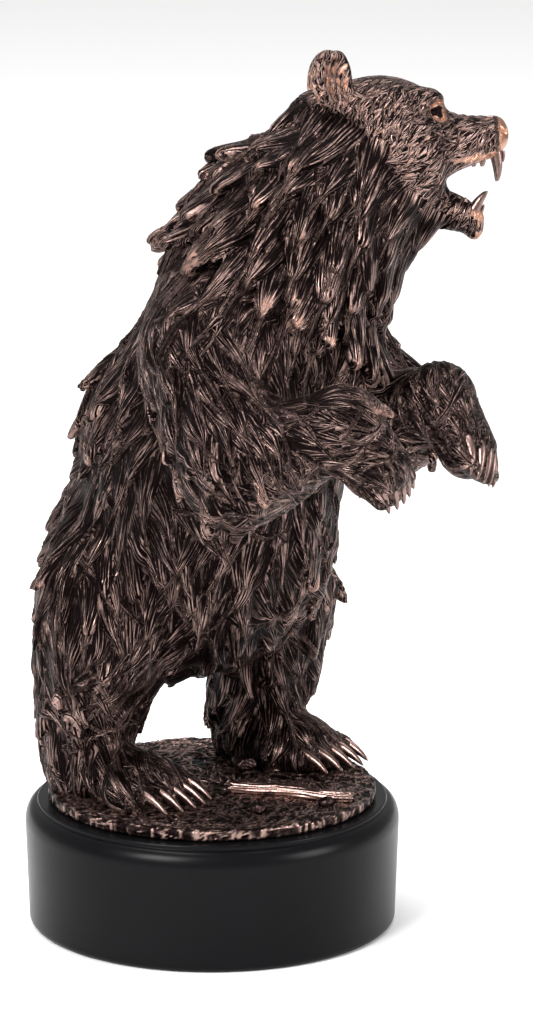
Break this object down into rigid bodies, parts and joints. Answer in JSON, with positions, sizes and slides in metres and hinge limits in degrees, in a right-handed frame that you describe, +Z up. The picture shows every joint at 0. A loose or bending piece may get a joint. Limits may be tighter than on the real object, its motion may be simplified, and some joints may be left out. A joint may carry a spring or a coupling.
{
  "type": "resin bear statue",
  "caption": "Cast bear rearing on its hind legs on a patch of grassy ground, mouth open, fixed display figure on a low round turned plinth.",
  "frame": {"origin": "centre of the plinth's flat underside", "axes": "+Z up the plinth's axis, the bear's chest faces -Y and its left arm is on +X"},
  "size_m": [0.1321, 0.167, 0.3003],
  "materials": {
    "patinated_resin": "antique copper patina on cast resin, dark in the hollows and rubbed bright on crests and claws",
    "plinth_lacquer": "satin black lacquer on turned wood"
  },
  "bodies": {
    "root": {"bear": "patinated_resin", "plinth": "plinth_lacquer"}
  },
  "joints": []
}
